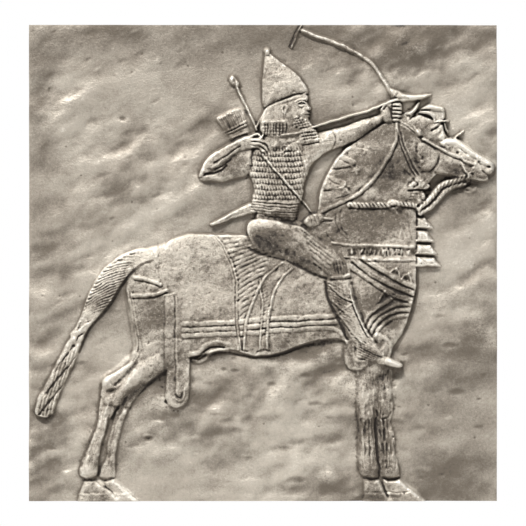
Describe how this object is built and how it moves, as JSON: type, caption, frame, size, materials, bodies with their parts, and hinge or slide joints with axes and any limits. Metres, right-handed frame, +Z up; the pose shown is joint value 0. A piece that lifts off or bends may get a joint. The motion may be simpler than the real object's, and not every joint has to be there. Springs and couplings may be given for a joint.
{
  "type": "relief plaque",
  "caption": "Cast metal wall plaque with a mounted archer in low relief, ancient Near Eastern palace style, flat back for fixing to a wall",
  "frame": {"origin": "centre of the flat back face, which lies on the wall", "axes": "+X to the right and +Z up as the front is seen, +Y out of the back into the wall; the relief faces -Y"},
  "size_m": [0.4, 0.0166, 0.407],
  "materials": {
    "antiqued_metal": "antiqued satin casting with dark brown patina in the recesses"
  },
  "bodies": {
    "root": {"relief_plaque": "antiqued_metal"}
  },
  "joints": []
}
